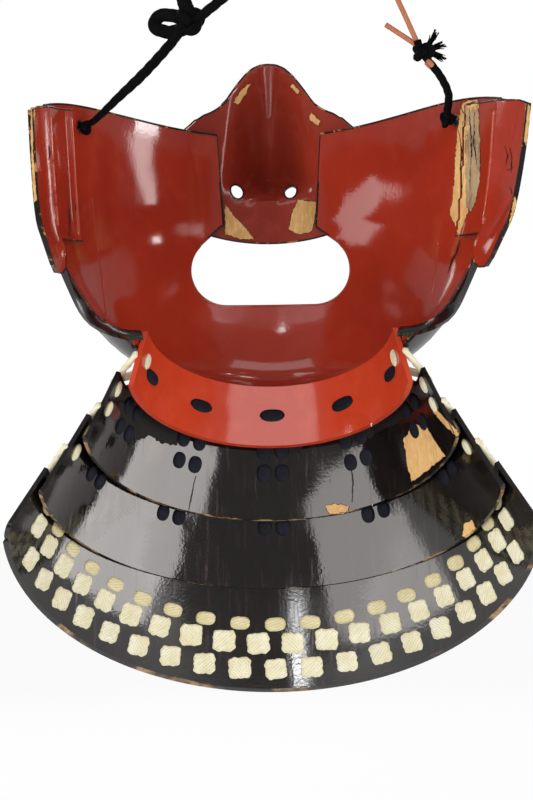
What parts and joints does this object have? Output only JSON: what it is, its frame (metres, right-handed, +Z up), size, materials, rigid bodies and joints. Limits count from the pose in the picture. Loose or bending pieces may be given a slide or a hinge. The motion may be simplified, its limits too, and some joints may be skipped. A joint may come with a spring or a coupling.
{
  "type": "samurai face mask",
  "caption": "Lacquered half mask with a detachable nose piece and a laced, telescoping throat guard of flared plates.",
  "frame": {"origin": "the point on the wearer's mouth line where the face enters the mask, 8 mm behind the rear edges of the cheeks", "axes": "-Y is the way the mask faces, +Z is up as the mask hangs, +X is the wearer's left"},
  "size_m": [0.1864, 0.1332, 0.2889],
  "materials": {
    "red_lacquer": "glossy vermilion lacquer on rawhide, worn at the edges",
    "nose_lacquer": "glossy dark red lacquer on rawhide, chipped to the base",
    "black_lacquer": "glossy black-brown lacquer on rawhide, chipped at the edges",
    "navy_lace": "flat braided silk",
    "cream_lace": "flat braided silk",
    "black_cord": "braided silk cord",
    "hide_thong": "smooth tan hide"
  },
  "bodies": {
    "mask": {"face_plate": "red_lacquer", "left_ear_flange": "red_lacquer", "right_ear_flange": "red_lacquer", "neck_band": "red_lacquer", "neck_stitches": "navy_lace", "neck_edge_stitches": "cream_lace", "left_cheek_knot": "black_cord", "right_cheek_knot": "black_cord", "left_cord": "black_cord", "slip_knot": "black_cord", "slip_loop": "black_cord", "left_upper_cord": "black_cord", "right_cord": "black_cord", "right_knot": "black_cord", "right_tassel": "black_cord", "thong_tail": "hide_thong", "thong": "hide_thong", "hanging_knot": "black_cord", "lace_edge_right_neck": "cream_lace", "lace_far_right_neck": "navy_lace", "lace_right_neck": "navy_lace", "lace_centre_neck": "navy_lace", "lace_left_neck": "navy_lace", "lace_far_left_neck": "navy_lace", "lace_edge_left_neck": "cream_lace"},
    "nose": {"nose_piece": "nose_lacquer"},
    "upper": {"upper_lame": "black_lacquer", "upper_stitches": "navy_lace", "upper_edge_stitches": "cream_lace", "lace_edge_right_upper": "cream_lace", "lace_far_right_upper": "navy_lace", "lace_right_upper": "navy_lace", "lace_centre_upper": "navy_lace", "lace_left_upper": "navy_lace", "lace_far_left_upper": "navy_lace", "lace_edge_left_upper": "cream_lace"},
    "middle": {"middle_lame": "black_lacquer", "middle_stitches": "navy_lace", "middle_edge_stitches": "cream_lace", "lace_edge_right_middle": "cream_lace", "lace_far_right_middle": "navy_lace", "lace_right_middle": "navy_lace", "lace_centre_middle": "navy_lace", "lace_left_middle": "navy_lace", "lace_far_left_middle": "navy_lace", "lace_edge_left_middle": "cream_lace"},
    "lower": {"lower_lame": "black_lacquer", "lower_stitches": "navy_lace", "lower_edge_stitches": "cream_lace", "oval_stitch_row": "cream_lace", "middle_cross_stitches": "cream_lace", "lower_cross_stitches": "cream_lace"}
  },
  "joints": [
    {"name": "nose_lift", "type": "slide", "parent": "mask", "child": "nose", "axis": [0, -1, 0], "range_m": [0, 0.03]},
    {"name": "upper_lame_lift", "type": "slide", "parent": "mask", "child": "upper", "axis": [0, -0.5, 0.866], "range_m": [0, 0.006], "deforming": ["lace_edge_right_neck", "lace_far_right_neck", "lace_right_neck", "lace_centre_neck", "lace_left_neck", "lace_far_left_neck", "lace_edge_left_neck"]},
    {"name": "middle_lame_lift", "type": "slide", "parent": "upper", "child": "middle", "axis": [0, -0.5, 0.866], "range_m": [0, 0.01], "deforming": ["lace_edge_right_upper", "lace_far_right_upper", "lace_right_upper", "lace_centre_upper", "lace_left_upper", "lace_far_left_upper", "lace_edge_left_upper"]},
    {"name": "lower_lame_lift", "type": "slide", "parent": "middle", "child": "lower", "axis": [0, -0.5, 0.866], "range_m": [0, 0.01], "deforming": ["lace_edge_right_middle", "lace_far_right_middle", "lace_right_middle", "lace_centre_middle", "lace_left_middle", "lace_far_left_middle", "lace_edge_left_middle"]}
  ]
}
